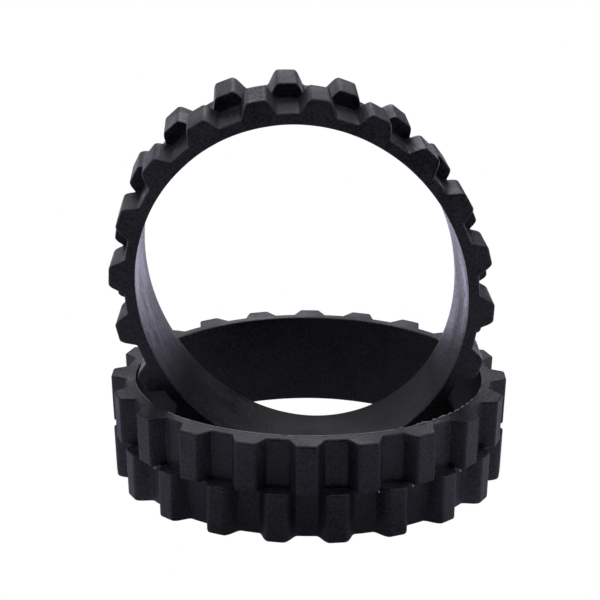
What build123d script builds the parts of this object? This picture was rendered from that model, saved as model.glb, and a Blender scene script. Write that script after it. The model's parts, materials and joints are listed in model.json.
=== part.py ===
from build123d import *
import os

# A pair of identical moulded rubber tyre skins for small drive wheels.
# One lies flat on the floor, the other stands upright in its bore.
# Millimetres, +Z up. The origin is the centre of the lower tyre's bottom face.

# The band: a plain hoop with a smooth bore
BORE_RADIUS = 31.2
BAND_RADIUS = 33.3
TYRE_WIDTH = 18.8
BORE_EDGE_ROUND = 0.25

# The tread: two rows of lugs side by side, the second row half a pitch round from the first
CREST_RADIUS = 36.0
LUGS_PER_ROW = 20
LUG_CREST_HALF = 1.9
LUG_BASE_HALF = 3.15
LUG_EDGE_ROUND = 0.4
LUG_SINK = 0.6

# Where the tyres are
LOWER_TURN = -0.7
UPPER_CENTRE = (-1.4, -3.5, 39.7)
UPPER_TURN = -5.4
UPPER_TIP_FORWARD = 1.3
UPPER_SWING = 1.2

LUG_PITCH = 360 / LUGS_PER_ROW
ROW_WIDTH = TYRE_WIDTH / 2


def make_band():
    """The hoop, centred on the origin with its axis along Z."""
    band = Cylinder(BAND_RADIUS, TYRE_WIDTH) - Cylinder(BORE_RADIUS, TYRE_WIDTH)
    bore_edges = band.edges().filter_by(GeomType.CIRCLE).sort_by(SortBy.RADIUS)[:2]
    return fillet(bore_edges, BORE_EDGE_ROUND)


def make_lug():
    """One lug of the upper row, pointing along -Y, its root sunk into the band."""
    root_radius = BAND_RADIUS - LUG_SINK
    outline = Polyline(
        (-LUG_BASE_HALF, -root_radius),
        (-LUG_BASE_HALF, -BAND_RADIUS),
        (-LUG_CREST_HALF, -CREST_RADIUS),
        (LUG_CREST_HALF, -CREST_RADIUS),
        (LUG_BASE_HALF, -BAND_RADIUS),
        (LUG_BASE_HALF, -root_radius),
        close=True,
    )
    lug = extrude(make_face(outline), ROW_WIDTH)
    crest = lug.faces().sort_by(Axis.Y)[0]
    return fillet(crest.edges(), LUG_EDGE_ROUND)


def make_tyre():
    """Band and both lug rows as one moulding, centred on the origin, axis along Z."""
    lug = make_lug()
    upper_row = [Rot(0, 0, n * LUG_PITCH) * lug for n in range(LUGS_PER_ROW)]
    half_pitch_down = Pos(0, 0, -ROW_WIDTH) * Rot(0, 0, LUG_PITCH / 2)
    lower_row = [half_pitch_down * upper_lug for upper_lug in upper_row]
    return make_band() + upper_row + lower_row


def place_lower(tyre):
    """Flat on the floor, axis upright."""
    return Pos(0, 0, TYRE_WIDTH / 2) * Rot(0, 0, LOWER_TURN) * tyre


def place_upper(tyre):
    """Upright in the lower tyre's bore, its first lug row to the front, tipped slightly forward."""
    upright = Rot(90 + UPPER_TIP_FORWARD, 0, 0) * Rot(0, 0, UPPER_TURN)
    return Pos(*UPPER_CENTRE) * Rot(0, 0, UPPER_SWING) * upright * tyre


def main():
    os.makedirs("parts", exist_ok=True)
    tyre = make_tyre()
    export_step(place_lower(tyre), "parts/lower_tyre.step")
    export_step(place_upper(tyre), "parts/upper_tyre.step")


main()
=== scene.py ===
import json
import math

import bmesh
import bpy
import numpy as np
from mathutils import Matrix, Vector, noise


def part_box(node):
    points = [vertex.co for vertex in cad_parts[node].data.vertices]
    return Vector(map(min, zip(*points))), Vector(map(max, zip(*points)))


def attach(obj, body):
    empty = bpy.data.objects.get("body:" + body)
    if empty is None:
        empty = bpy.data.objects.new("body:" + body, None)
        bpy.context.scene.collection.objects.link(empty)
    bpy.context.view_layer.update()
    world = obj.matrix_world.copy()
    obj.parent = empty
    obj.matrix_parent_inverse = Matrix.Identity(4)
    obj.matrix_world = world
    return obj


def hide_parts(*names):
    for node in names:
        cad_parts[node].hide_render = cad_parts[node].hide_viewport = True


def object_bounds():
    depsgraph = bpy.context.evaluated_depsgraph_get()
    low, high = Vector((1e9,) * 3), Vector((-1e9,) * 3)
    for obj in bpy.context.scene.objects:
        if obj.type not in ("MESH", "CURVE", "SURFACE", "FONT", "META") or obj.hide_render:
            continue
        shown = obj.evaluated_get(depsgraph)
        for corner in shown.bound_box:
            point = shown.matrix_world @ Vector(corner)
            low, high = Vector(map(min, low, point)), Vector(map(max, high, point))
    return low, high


# A pair of identical moulded rubber tyre skins: one lies flat, the other stands in its rim.
# Each tyre is one closed mesh, built round its own axis from columns (angles round the tyre)
# and rows (points along its section). Its near face looks up on the lower tyre, and to the
# front on the upper one. Lengths are metres and angles degrees unless a name says otherwise.

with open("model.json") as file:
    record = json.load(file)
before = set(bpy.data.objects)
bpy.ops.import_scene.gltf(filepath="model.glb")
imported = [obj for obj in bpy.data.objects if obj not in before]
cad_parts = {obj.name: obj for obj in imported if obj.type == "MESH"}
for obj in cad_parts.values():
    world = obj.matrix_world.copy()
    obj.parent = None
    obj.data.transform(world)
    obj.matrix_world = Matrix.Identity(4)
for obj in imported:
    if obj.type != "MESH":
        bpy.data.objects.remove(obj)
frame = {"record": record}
cad_low, cad_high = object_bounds()
cad_middle = (cad_low + cad_high) / 2
MM = 0.001

# Sizes and places that the frame gives
mounts = {mount["name"]: mount for mount in frame["record"]["mounts"]}
lower_low, lower_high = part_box("lower_tyre")
BORE_RADIUS = mounts["lower_hub_seat"]["dims"]["r_mm"] * MM
TYRE_WIDTH = lower_high.z - lower_low.z
HALF_WIDTH = TYRE_WIDTH / 2
UPPER_CENTRE = Vector(mounts["upper_hub_seat"]["pos_m"])
UPPER_BACK = Vector(mounts["upper_hub_seat"]["axis"])

# The tread: a band with two rows of lugs, half a pitch apart
BAND_RADIUS = 33.3 * MM
CREST_RADIUS = 36.0 * MM
LUGS_PER_ROW = 20
LUG_PITCH = 360 / LUGS_PER_ROW
LUG_CREST_HALF = 1.9 * MM
LUG_BASE_HALF = 3.15 * MM

# Rounded edges: at the side faces, at the bore, and where a lug ends in the middle of the tread,
# there no more than a share of the step to the neighbouring row
SIDE_ROUND = 0.38 * MM
BORE_ROUND = 0.25 * MM
LUG_END_ROUND = 0.32 * MM
LUG_END_ROUND_SHARE = 0.6
LUG_END_ROOT_ROUND = 0.12 * MM
LUG_END_ROOT_SHARE = 0.3
NO_ROUND = 1e-9

# Blends of the lug's crest corners and of its roots, at the far and the near face of each tyre
LOWER_ROUNDS = {"far": (1.3 * MM, 0.7 * MM), "near": (0.55 * MM, 0.22 * MM)}
UPPER_ROUNDS = {"far": (1.1 * MM, 0.4 * MM), "near": (1.1 * MM, 0.4 * MM)}

# How the tyres are turned about their own axes
LOWER_TURN = -0.7
UPPER_TURN = -5.4

# How far each soft ring is bent out of round: the rise of its middle line along the long axis, as
# a share of its radius, at the far and the near face, and where that axis lies
MIDDLE_RADIUS = 32.3 * MM
SLOPE_PER_BEND = 1.5
LOWER_BEND = {"far": 0.049, "near": 0.065, "long_axis": 88.5}
UPPER_BEND = {"far": 0.073, "near": 0.042, "long_axis": 25.0}

# Waviness of the moulding: size of the waves and their depth
WAVES = [(9 * MM, 0.05 * MM), (2.2 * MM, 0.012 * MM)]
LOWER_SEED = 0.0
UPPER_SEED = 40.0

# Mesh clean-up and density: columns over a quarter pitch, and rows across the bore, the side
# faces and the lugs
WELD_DISTANCE = 1e-7
LEAST_EDGE = 1e-8
QUARTER_COLUMNS = [0, 0.9, 1.8, 2.35, 2.6, 2.8, 2.95, 3.12, 3.3, 3.5, 3.68, 3.9, 4.2]
BORE_ROWS = 14
BORE_ROUND_TURNS = [0, 30, 60]
FACE_SHARES = [0.04, 0.35, 0.7, 0.96]
SIDE_ROUND_TURNS = [0, 22.5, 45, 67.5, 90]
LUG_SHARES = [0.985, 0.85, 0.7, 0.55, 0.4, 0.25, 0.12, 0.06]
LUG_END_SHARES = [1.0, 0.68, 0.42, 0.2, 0.06, 0.0]

# Flash on the lower tyre's top bore edge: where each fin starts and ends, and its height in mm
# The fins' pale grey colour is a painted highlight along the bore edge
FLASH_FINS = [
    (-80.0, -63.5, 0.2),
    (-52.0, -9.0, 0.1),
    (-7.0, 28.0, 0.1),
    (29.5, 31.5, 0.25),
    (36.0, 41.5, 0.32),
    (43.0, 45.0, 0.38),
    (45.8, 49.8, 0.38),
    (50.5, 53.0, 0.2),
    (54.0, 57.0, 0.2),
    (58.0, 60.0, 0.32),
    (61.5, 63.5, 0.2),
    (65.0, 67.0, 0.28),
    (118.0, 126.0, 0.2),
]
FLASH_THICKNESS = 0.16 * MM
FLASH_SINK = 0.3 * MM
FLASH_TAPER = 0.12
FLASH_TEETH = 55
FLASH_MEAN = 0.55
FLASH_SPREAD = 0.9
FLASH_LEAST = 0.1
FLASH_STEPS_PER_DEGREE = 6

# Nibs at the middle of the lower tyre's tread: where they are, and their outline from root to tip
# as (height, radius) in shares of the nib's size
NIB_ANGLES = [-50.2, 20.3, 31.0, 48.6, 96.5, -122.5, 170.0]
NIB_SIZE = 0.7 * MM
NIB_OUTLINE = [(-0.5, 0.25), (0.12, 0.25), (0.3, 0.14)]
NIB_ROOT_RADIUS = CREST_RADIUS - 0.15 * MM

# The studio. Azimuths run from behind the object (0) to its right (90); strength 1 is white.
WHITE = (1.0, 1.0, 1.0)
COOL_WHITE = (0.99, 0.975, 1.08)
LAVENDER = (0.98, 0.95, 1.22)
UNDER_REACH = 0.0315
EDGE_REACH = 0.054
NEAR_REACH = 0.12
FLOOR_REACH = 6.0
FLOOR_STEPS = 24
DOME_STEPS = 48
FLOOR_PATCHES = [  # name, inner and outer reach, azimuth, spread, strength, colour
    ("floor_inside", 0, UNDER_REACH, 0, 360, 0.19, COOL_WHITE),
    ("floor_near_back", UNDER_REACH, NEAR_REACH, 0, 90, 2.3, LAVENDER),
    ("floor_near_right", UNDER_REACH, NEAR_REACH, 90, 90, 0.5, LAVENDER),
    ("floor_near_left", UNDER_REACH, NEAR_REACH, 270, 90, 0.5, LAVENDER),
    ("floor_edge_front", UNDER_REACH, EDGE_REACH, 180, 90, 0.21, LAVENDER),
    ("floor_near_front", EDGE_REACH, NEAR_REACH, 180, 90, 0.6, LAVENDER),
    ("floor_far_back", NEAR_REACH, FLOOR_REACH, 0, 90, 1.0, LAVENDER),
    ("floor_far_right", NEAR_REACH, FLOOR_REACH, 90, 90, 1.3, LAVENDER),
    ("floor_far_left", NEAR_REACH, FLOOR_REACH, 270, 90, 1.1, LAVENDER),
    ("floor_far_front", NEAR_REACH, FLOOR_REACH, 180, 90, 0.08, COOL_WHITE),
]
PANEL_DISTANCE = 0.8
PANELS = [  # name, azimuth, elevation, width, height, strength, colour
    ("top_right_panel", 90, 71, 32, 34, 2.1, COOL_WHITE),
    ("top_left_panel", 270, 71, 32, 34, 1.4, COOL_WHITE),
    ("right_panel", 90, 40, 34, 30, 1.04, LAVENDER),
    ("left_panel", 270, 40, 34, 30, 1.1, LAVENDER),
    ("back_low_panel", 0, 13, 18, 26, 1.7, COOL_WHITE),
    ("back_high_panel", 0, 40, 34, 28, 1.05, COOL_WHITE),
    ("back_right_panel", 45, 40, 34, 30, 0.5, COOL_WHITE),
    ("back_left_panel", 332, 14, 26, 24, 0.8, COOL_WHITE),
    ("low_right_panel", 90, 12.5, 30, 25, 0.9, LAVENDER),
    ("low_left_panel", 270, 12.5, 30, 25, 1.1, LAVENDER),
]
AMBIENT = 0.01

# The camera stands in front and above and looks slightly down with a long lens
CAMERA_TARGET = cad_middle + Vector((-0.90, 0.0, -4.0)) * MM
CAMERA_DISTANCE = 0.305
CAMERA_LOOKS_DOWN = 20.28
CAMERA_ROLL = 0.17
CAMERA_LENS = 96.1
CAMERA_SENSOR = 36
CAMERA_CLIP = 0.01


# ---- Shape of a tyre ----

def soft_min(a, b, blend):
    """The smaller of a and b, with the corner between them rounded over the length blend."""
    share = np.clip(blend - np.abs(a - b), 0, None) / blend
    return np.minimum(a, b) - share * share * blend / 4


def lug_outline(offset, rounds):
    """Outer radius at an angle from a lug's centre line, in radians, with rounded corners."""
    crest_blend, root_blend = rounds
    lean = (LUG_BASE_HALF - LUG_CREST_HALF) / (CREST_RADIUS - BAND_RADIUS)
    flank = (LUG_CREST_HALF + lean * CREST_RADIUS) / (np.sin(offset) + lean * np.cos(offset))
    crest = CREST_RADIUS / np.cos(offset)
    lug = soft_min(flank, crest, crest_blend)
    return -soft_min(-lug, np.full_like(lug, -BAND_RADIUS), root_blend)


def column_angles():
    """Angles of all columns: close together at lug edges and roots, wide apart between them."""
    half_pitch = LUG_PITCH / 2
    mirrored = [half_pitch - angle for angle in reversed(QUARTER_COLUMNS[1:])]
    half = QUARTER_COLUMNS + [half_pitch / 2] + mirrored
    return np.radians([n * half_pitch + angle for n in range(2 * LUGS_PER_ROW) for angle in half])


def row_radius(angles, row_shift, rounds):
    """Outer radius of one lug row at every column."""
    pitch = math.radians(LUG_PITCH)
    offset = (angles - math.radians(row_shift) + pitch / 2) % pitch - pitch / 2
    return lug_outline(np.abs(offset), rounds)


def bore_corner(angles, turn, side):
    """A row on the rounded edge of the bore, at the near face (side 1) or the far one (side -1)."""
    radius = BORE_RADIUS + BORE_ROUND * (1 - math.sin(turn))
    return np.full_like(angles, radius), side * (HALF_WIDTH - BORE_ROUND * (1 - math.cos(turn)))


def lug_end(radius, step, away):
    """Outer radius near the middle of the tread, where one row steps up or down to the other."""
    top_round = np.clip(LUG_END_ROUND_SHARE * step, NO_ROUND, LUG_END_ROUND)
    root_round = np.clip(-LUG_END_ROOT_SHARE * step, NO_ROUND, LUG_END_ROOT_ROUND)
    top_gap = np.clip(top_round - away, 0, None)
    root_gap = np.clip(root_round - away, 0, None)
    over = top_round - np.sqrt(np.clip(top_round**2 - top_gap**2, 0, None))
    under = root_round - np.sqrt(np.clip(root_round**2 - root_gap**2, 0, None))
    return radius - over * (step > 0) + under * (step < 0)


def half_tread(radius, neighbour):
    """Rows of one lug row from the side face to the middle, as (radius, distance from middle)."""
    rows = []
    for turn in np.radians(SIDE_ROUND_TURNS):
        out = radius - SIDE_ROUND * (1 - math.sin(turn))
        rows.append((out, HALF_WIDTH - SIDE_ROUND * (1 - math.cos(turn))))
    for share in LUG_SHARES:
        rows.append((radius, (HALF_WIDTH - SIDE_ROUND) * share))
    for share in LUG_END_SHARES:
        away = share * LUG_END_ROUND
        rows.append((lug_end(radius, radius - neighbour, away), away))
    return rows


def section_rows(angles, rounds):
    """The closed section at every column: bore, near face, tread, far face."""
    near_row = row_radius(angles, 0, rounds["near"])
    far_row = row_radius(angles, LUG_PITCH / 2, rounds["far"])
    face_inner = BORE_RADIUS + BORE_ROUND
    rows = [bore_corner(angles, turn, -1) for turn in np.radians(BORE_ROUND_TURNS)]
    for share in np.linspace(-1, 1, BORE_ROWS):
        rows.append((np.full_like(angles, BORE_RADIUS), (HALF_WIDTH - BORE_ROUND) * share))
    rows += [bore_corner(angles, turn, 1) for turn in np.radians(BORE_ROUND_TURNS[::-1])]
    for share in FACE_SHARES:
        rows.append((face_inner + share * (near_row - SIDE_ROUND - face_inner), HALF_WIDTH))
    rows += half_tread(near_row, far_row)
    rows += [(radius, -away) for radius, away in reversed(half_tread(far_row, near_row))]
    for share in reversed(FACE_SHARES):
        rows.append((face_inner + share * (far_row - SIDE_ROUND - face_inner), -HALF_WIDTH))
    return rows


def bend(radius, angle, along, shape):
    """Where a point of the round tyre goes when the ring is bent without being stretched."""
    share = along / TYRE_WIDTH + 0.5
    size = shape["far"] * (1 - share) + shape["near"] * share
    lobe = 2 * (angle - math.radians(shape["long_axis"]))
    outward = MIDDLE_RADIUS * size * np.cos(lobe)
    sideways = -MIDDLE_RADIUS / 2 * size * np.sin(lobe)
    twist = np.arctan(SLOPE_PER_BEND * size * np.sin(lobe))
    depth = radius - MIDDLE_RADIUS
    reach = MIDDLE_RADIUS + outward + depth * np.cos(twist)
    slip = sideways + depth * np.sin(twist)
    dish = -MIDDLE_RADIUS**2 / (4 * TYRE_WIDTH) * (shape["near"] - shape["far"]) * np.cos(lobe)
    x = reach * np.sin(angle) + slip * np.cos(angle)
    y = -reach * np.cos(angle) + slip * np.sin(angle)
    return np.stack([x, y, along + dish], -1)


def waviness(grid, seed):
    """The slight unevenness of a soft moulding, as a push along the radius of every point."""
    push = np.zeros(grid.shape[:2])
    for size, depth in WAVES:
        for row in range(grid.shape[0]):
            for column in range(grid.shape[1]):
                point = Vector(grid[row, column]) / size
                push[row, column] += depth * noise.noise(point + Vector((seed, 0, 0)))
    outward = grid * np.array([1.0, 1.0, 0.0])
    outward /= np.linalg.norm(outward, axis=-1, keepdims=True)
    return outward * push[..., None]


def tyre_points(turn, shape, rounds, seed):
    """Points of one tyre round its own axis (+Z towards the near face), as rows by columns."""
    angles = column_angles()
    place = angles + math.radians(turn)
    rows = [bend(radius, place, np.full_like(angles, along), shape)
            for radius, along in section_rows(angles, rounds)]
    grid = np.array(rows)
    return grid + waviness(grid, seed)


# ---- Shape of the moulding marks ----

def flash_points(start, end, height, seed):
    """A thin ragged fin on the lower tyre's top bore edge, as stations of four corners."""
    count = 5 + int(FLASH_STEPS_PER_DEGREE * (end - start))
    angles = np.radians(np.linspace(start, end, count))
    teeth = [noise.noise(Vector((angle * FLASH_TEETH, seed, 0))) for angle in angles]
    ragged = FLASH_MEAN + FLASH_SPREAD * np.array(teeth)
    taper = np.sin(np.linspace(FLASH_TAPER, math.pi - FLASH_TAPER, len(angles)))
    top = HALF_WIDTH + height * np.clip(ragged, FLASH_LEAST, 1) * taper
    foot = np.full_like(angles, HALF_WIDTH - FLASH_SINK)
    inner = BORE_RADIUS + FLASH_SINK / 3
    outer = inner + FLASH_THICKNESS
    loop = [(inner, foot), (outer, foot), (outer - FLASH_THICKNESS / 3, top), (inner, top)]
    corners = [bend(np.full_like(angles, radius), angles, along, LOWER_BEND) for radius, along in loop]
    return np.stack(corners, 1)


def nib_points(angle):
    """A little nib where the mould let air out, as stations of eight corners from root to tip."""
    turns = np.radians(np.arange(0, 360, 45))
    stations = []
    for out, radius in NIB_OUTLINE:
        place = math.radians(angle) + NIB_SIZE * radius * np.cos(turns) / CREST_RADIUS
        along = NIB_SIZE * radius * np.sin(turns)
        reach = np.full_like(turns, NIB_ROOT_RADIUS + out * NIB_SIZE)
        stations.append(bend(reach, place, along, LOWER_BEND))
    return np.array(stations)


# ---- Meshes and pieces ----

def ring_mesh(name, grid):
    """A closed mesh from rows by columns of points, joined round both ways."""
    row_count, column_count = grid.shape[:2]
    index = np.arange(row_count * column_count).reshape(row_count, column_count)
    right = np.roll(index, -1, axis=1)
    up = np.roll(index, -1, axis=0)
    quads = np.stack([index, right, np.roll(right, -1, axis=0), up], -1).reshape(-1, 4)
    mesh = bpy.data.meshes.new(name)
    mesh.from_pydata(grid.reshape(-1, 3).tolist(), [], quads.tolist())
    return mesh


def strip_mesh(name, stations):
    """A closed mesh from a row of closed loops, with a flat cap at each end."""
    count, around = stations.shape[:2]
    index = np.arange(count * around).reshape(count, around)
    right = np.roll(index, -1, axis=1)
    quads = np.stack([index[:-1], right[:-1], right[1:], index[1:]], -1).reshape(-1, 4).tolist()
    caps = [index[0].tolist(), index[-1].tolist()]
    mesh = bpy.data.meshes.new(name)
    mesh.from_pydata(stations.reshape(-1, 3).tolist(), [], quads + caps)
    return mesh


def clean_surface(mesh):
    """Welds doubled points, drops faces with no area, turns normals outwards, shades smooth."""
    surface = bmesh.new()
    surface.from_mesh(mesh)
    bmesh.ops.remove_doubles(surface, verts=surface.verts, dist=WELD_DISTANCE)
    bmesh.ops.dissolve_degenerate(surface, edges=surface.edges, dist=LEAST_EDGE)
    bmesh.ops.recalc_face_normals(surface, faces=surface.faces)
    for face in surface.faces:
        face.smooth = True
    surface.to_mesh(mesh)
    surface.free()


def add_piece(name, mesh, body, place, material):
    """Puts a mesh in place and rides it on its body."""
    mesh.transform(place)
    mesh.materials.append(material)
    clean_surface(mesh)
    piece = bpy.data.objects.new(name, mesh)
    bpy.context.scene.collection.objects.link(piece)
    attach(piece, body)
    return piece


# ---- Materials ----

def new_material(name):
    """A new material, its node tree and its shader."""
    material = bpy.data.materials.new(name)
    material.use_nodes = True
    return material, material.node_tree, material.node_tree.nodes["Principled BSDF"]


def noise_field(tree, vector, scale, detail):
    """A noise over the given place."""
    field = tree.nodes.new("ShaderNodeTexNoise")
    field.inputs["Scale"].default_value = scale
    field.inputs["Detail"].default_value = detail
    tree.links.new(vector, field.inputs["Vector"])
    return field


def remap(tree, value, old_range, new_range):
    """A value moved from one range to another."""
    node = tree.nodes.new("ShaderNodeMapRange")
    node.inputs["From Min"].default_value, node.inputs["From Max"].default_value = old_range
    node.inputs["To Min"].default_value, node.inputs["To Max"].default_value = new_range
    tree.links.new(value, node.inputs["Value"])
    return node.outputs["Result"]


def multiply(tree, first, second):
    """The product of two values."""
    node = tree.nodes.new("ShaderNodeMath")
    node.operation = "MULTIPLY"
    tree.links.new(first, node.inputs[0])
    tree.links.new(second, node.inputs[1])
    return node.outputs["Value"]


def rubber_tone(tree, cloud, grain):
    """Black, with a faint cloudy bloom and a fine grain."""
    blotch = tree.nodes.new("ShaderNodeMix")
    blotch.inputs["Factor"].default_value = 0.5
    tree.links.new(cloud, blotch.inputs["A"])
    tree.links.new(grain, blotch.inputs["B"])
    tone = tree.nodes.new("ShaderNodeValToRGB")
    dark, pale = tone.color_ramp.elements
    dark.position = 0.38
    dark.color = (0.0080, 0.0079, 0.0094, 1)
    pale.position = 0.64
    pale.color = (0.0210, 0.0207, 0.0242, 1)
    tree.links.new(blotch.outputs["Result"], tone.inputs["Fac"])
    return tone.outputs["Color"]


def rubbed_patches(tree, place):
    """Long soft patches where handling has changed the sheen, as a factor near 1."""
    stretch = tree.nodes.new("ShaderNodeMapping")
    stretch.inputs["Scale"].default_value = (75, 130, 55)
    stretch.inputs["Rotation"].default_value = (0.5, 0.6, 0.2)
    tree.links.new(place, stretch.inputs["Vector"])
    smear = noise_field(tree, stretch.outputs["Vector"], 1, 3)
    smear.inputs["Roughness"].default_value = 0.6
    return remap(tree, smear.outputs["Fac"], (0.35, 0.65), (0.78, 1.22))


def rubber_material():
    """Matt black moulded rubber."""
    material, tree, shader = new_material("tyre_rubber")
    place = tree.nodes.new("ShaderNodeTexCoord").outputs["Object"]
    cloud = noise_field(tree, place, 180, 5).outputs["Fac"]
    grain = noise_field(tree, place, 2100, 3).outputs["Fac"]
    rubbed = rubbed_patches(tree, place)
    roughness = multiply(tree, remap(tree, grain, (0.3, 0.7), (0.36, 0.6)), rubbed)
    sheen = multiply(tree, remap(tree, grain, (0.35, 0.65), (0.34, 0.66)), rubbed)
    bump = tree.nodes.new("ShaderNodeBump")
    bump.inputs["Strength"].default_value = 0.9
    bump.inputs["Distance"].default_value = 0.12 * MM
    tree.links.new(grain, bump.inputs["Height"])
    shader.inputs["IOR"].default_value = 1.45
    tree.links.new(rubber_tone(tree, cloud, grain), shader.inputs["Base Color"])
    tree.links.new(roughness, shader.inputs["Roughness"])
    tree.links.new(sheen, shader.inputs["Specular IOR Level"])
    tree.links.new(bump.outputs["Normal"], shader.inputs["Normal"])
    return material


def flash_and_painted_highlight_material():
    """Thin moulding flash and nibs, coloured pale grey as a painted highlight along the bore edge and
    on the tread.
    """
    material, _, shader = new_material("flash_and_painted_highlight")
    # The pale grey stands in for light: a painted highlight on the real flash, not the rubber's own
    # colour
    shader.inputs["Base Color"].default_value = (0.34, 0.34, 0.36, 1)
    shader.inputs["Roughness"].default_value = 0.6
    return material


def glow_material(name, strength, colour):
    """A surface that only glows."""
    material, _, shader = new_material(name)
    shader.inputs["Base Color"].default_value = (0, 0, 0, 1)
    shader.inputs["Specular IOR Level"].default_value = 0
    shader.inputs["Emission Color"].default_value = (*colour, 1)
    shader.inputs["Emission Strength"].default_value = strength
    return material


# ---- The tyres ----

def upper_place():
    """From a tyre lying at the origin to the upper tyre's place, its near face to the front."""
    front = -UPPER_BACK
    right = UPPER_BACK.cross(Vector((0, 0, 1))).normalized()
    up = front.cross(right)
    turned = Matrix((right, up, front)).transposed().to_4x4()
    return Matrix.Translation(UPPER_CENTRE) @ turned


def build_lower_tyre(rubber, flash_and_highlight):
    """The lower tyre with its moulding marks, resting on the floor."""
    points = tyre_points(LOWER_TURN, LOWER_BEND, LOWER_ROUNDS, LOWER_SEED)
    place = Matrix.Translation(Vector((0, 0, -points[..., 2].min())))
    skin = ring_mesh("lower_tyre_skin", points)
    piece = add_piece("lower_tyre_skin", skin, "lower_tyre", place, rubber)
    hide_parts("lower_tyre")
    # Fins and nibs carry a pale grey painted highlight
    for number, (start, end, height) in enumerate(FLASH_FINS):
        name = f"flash_{number:02d}"
        fin = strip_mesh(name, flash_points(start, end, height * MM, number))
        add_piece(name, fin, "lower_tyre", place, flash_and_highlight)
    for number, angle in enumerate(NIB_ANGLES):
        name = f"nib_{number:02d}"
        add_piece(name, strip_mesh(name, nib_points(angle)), "lower_tyre", place, flash_and_highlight)


def build_upper_tyre(rubber):
    """The upper tyre, standing in the lower one's rim."""
    points = tyre_points(UPPER_TURN, UPPER_BEND, UPPER_ROUNDS, UPPER_SEED)
    skin = ring_mesh("upper_tyre_skin", points)
    piece = add_piece("upper_tyre_skin", skin, "upper_tyre", upper_place(), rubber)
    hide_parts("upper_tyre")


# ---- The studio ----

def sector_mesh(name, inner, outer, azimuth, spread):
    """A flat sector of the floor round the object."""
    first = azimuth - spread / 2
    turns = np.radians(np.linspace(first, first + spread, FLOOR_STEPS + 1))
    points = [(reach * math.sin(turn), reach * math.cos(turn), 0)
              for reach in (inner, outer) for turn in turns]
    beyond = FLOOR_STEPS + 1
    faces = [(n, n + 1, n + 1 + beyond, n + beyond) for n in range(FLOOR_STEPS)]
    mesh = bpy.data.meshes.new(name)
    mesh.from_pydata(points, [], faces)
    return mesh


def dome_mesh(name):
    """A ball round the whole studio, whose upper half is the backdrop."""
    mesh = bpy.data.meshes.new(name)
    ball = bmesh.new()
    bmesh.ops.create_uvsphere(ball, u_segments=DOME_STEPS, v_segments=DOME_STEPS, radius=FLOOR_REACH)
    ball.to_mesh(mesh)
    ball.free()
    return mesh


def add_glow(mesh, strength, colour):
    """A glowing piece of the studio."""
    mesh.materials.append(glow_material(mesh.name, strength, colour))
    piece = bpy.data.objects.new(mesh.name, mesh)
    bpy.context.scene.collection.objects.link(piece)
    piece.visible_shadow = False
    return piece


def build_floor():
    """A white floor and backdrop that don't light the rubber, and the unseen patches that do."""
    for mesh in (sector_mesh("floor", 0, FLOOR_REACH, 0, 360), dome_mesh("backdrop")):
        white = add_glow(mesh, 1.0, WHITE)
        white.visible_diffuse = False
        white.visible_glossy = False
        white.active_material.cycles.emission_sampling = "NONE"
    for name, inner, outer, azimuth, spread, strength, colour in FLOOR_PATCHES:
        patch = add_glow(sector_mesh(name, inner, outer, azimuth, spread), strength, colour)
        patch.visible_camera = False


def add_panel(name, azimuth, elevation, across, high, strength, colour):
    """A soft panel aimed at the object; its width and height are the angles it fills."""
    level = math.cos(math.radians(elevation))
    toward = Vector((level * math.sin(math.radians(azimuth)),
                     level * math.cos(math.radians(azimuth)),
                     math.sin(math.radians(elevation))))
    light = bpy.data.lights.new(name, "AREA")
    light.shape = "RECTANGLE"
    light.size = 2 * PANEL_DISTANCE * math.tan(math.radians(across / 2))
    light.size_y = 2 * PANEL_DISTANCE * math.tan(math.radians(high / 2))
    light.energy = strength * math.pi * light.size * light.size_y
    light.color = colour
    panel = bpy.data.objects.new(name, light)
    panel.location = cad_middle + toward * PANEL_DISTANCE
    panel.rotation_euler = (-toward).to_track_quat("-Z", "Y").to_euler()
    panel.visible_camera = False
    bpy.context.scene.collection.objects.link(panel)


def build_lights():
    """The soft panels, and a very faint light from everywhere."""
    for panel in PANELS:
        add_panel(*panel)
    world = bpy.data.worlds.new("studio")
    world.use_nodes = True
    backing = world.node_tree.nodes["Background"]
    backing.inputs["Color"].default_value = (*WHITE, 1)
    backing.inputs["Strength"].default_value = AMBIENT
    bpy.context.scene.world = world


def build_camera():
    """The camera, standing in front and looking slightly down."""
    look_down = math.radians(CAMERA_LOOKS_DOWN)
    ahead = Vector((0, math.cos(look_down), -math.sin(look_down)))
    data = bpy.data.cameras.new("camera")
    data.lens = CAMERA_LENS
    data.sensor_width = CAMERA_SENSOR
    data.clip_start = CAMERA_CLIP
    camera = bpy.data.objects.new("camera", data)
    camera.location = CAMERA_TARGET - ahead * CAMERA_DISTANCE
    camera.rotation_euler = ahead.to_track_quat("-Z", "Y").to_euler()
    camera.rotation_euler.rotate_axis("Z", math.radians(CAMERA_ROLL))
    bpy.context.scene.collection.objects.link(camera)
    bpy.context.scene.camera = camera


tyre_rubber = rubber_material()
build_lower_tyre(tyre_rubber, flash_and_painted_highlight_material())
build_upper_tyre(tyre_rubber)
build_floor()
build_lights()
build_camera()
bpy.context.scene.view_settings.view_transform = "Standard"
